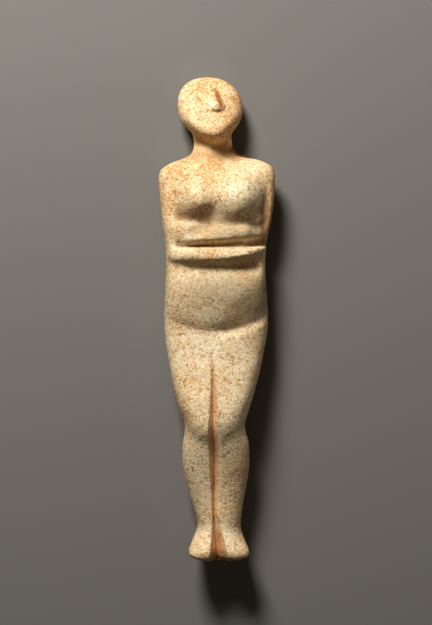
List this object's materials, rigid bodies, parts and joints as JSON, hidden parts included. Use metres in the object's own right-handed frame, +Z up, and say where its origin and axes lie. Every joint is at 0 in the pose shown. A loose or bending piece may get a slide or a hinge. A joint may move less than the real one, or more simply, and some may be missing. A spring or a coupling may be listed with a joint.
{
  "type": "folded-arm marble figurine",
  "caption": "Small marble figurine of a standing woman, arms folded over the belly, oval face tilted back with only a nose, legs parted by a deep groove, toes pointed. It lies on its back.",
  "frame": {"origin": "under the middle of the figure's box, on the surface that it lies on", "axes": "+Y from the toes to the crown, +X towards the figure's left arm, +Z up, out of its chest"},
  "size_m": [0.058, 0.2394, 0.033],
  "materials": {
    "marble": "weathered coarse-grained white marble with ochre and rust-brown patina"
  },
  "bodies": {
    "root": {"figurine": "marble"}
  },
  "joints": []
}
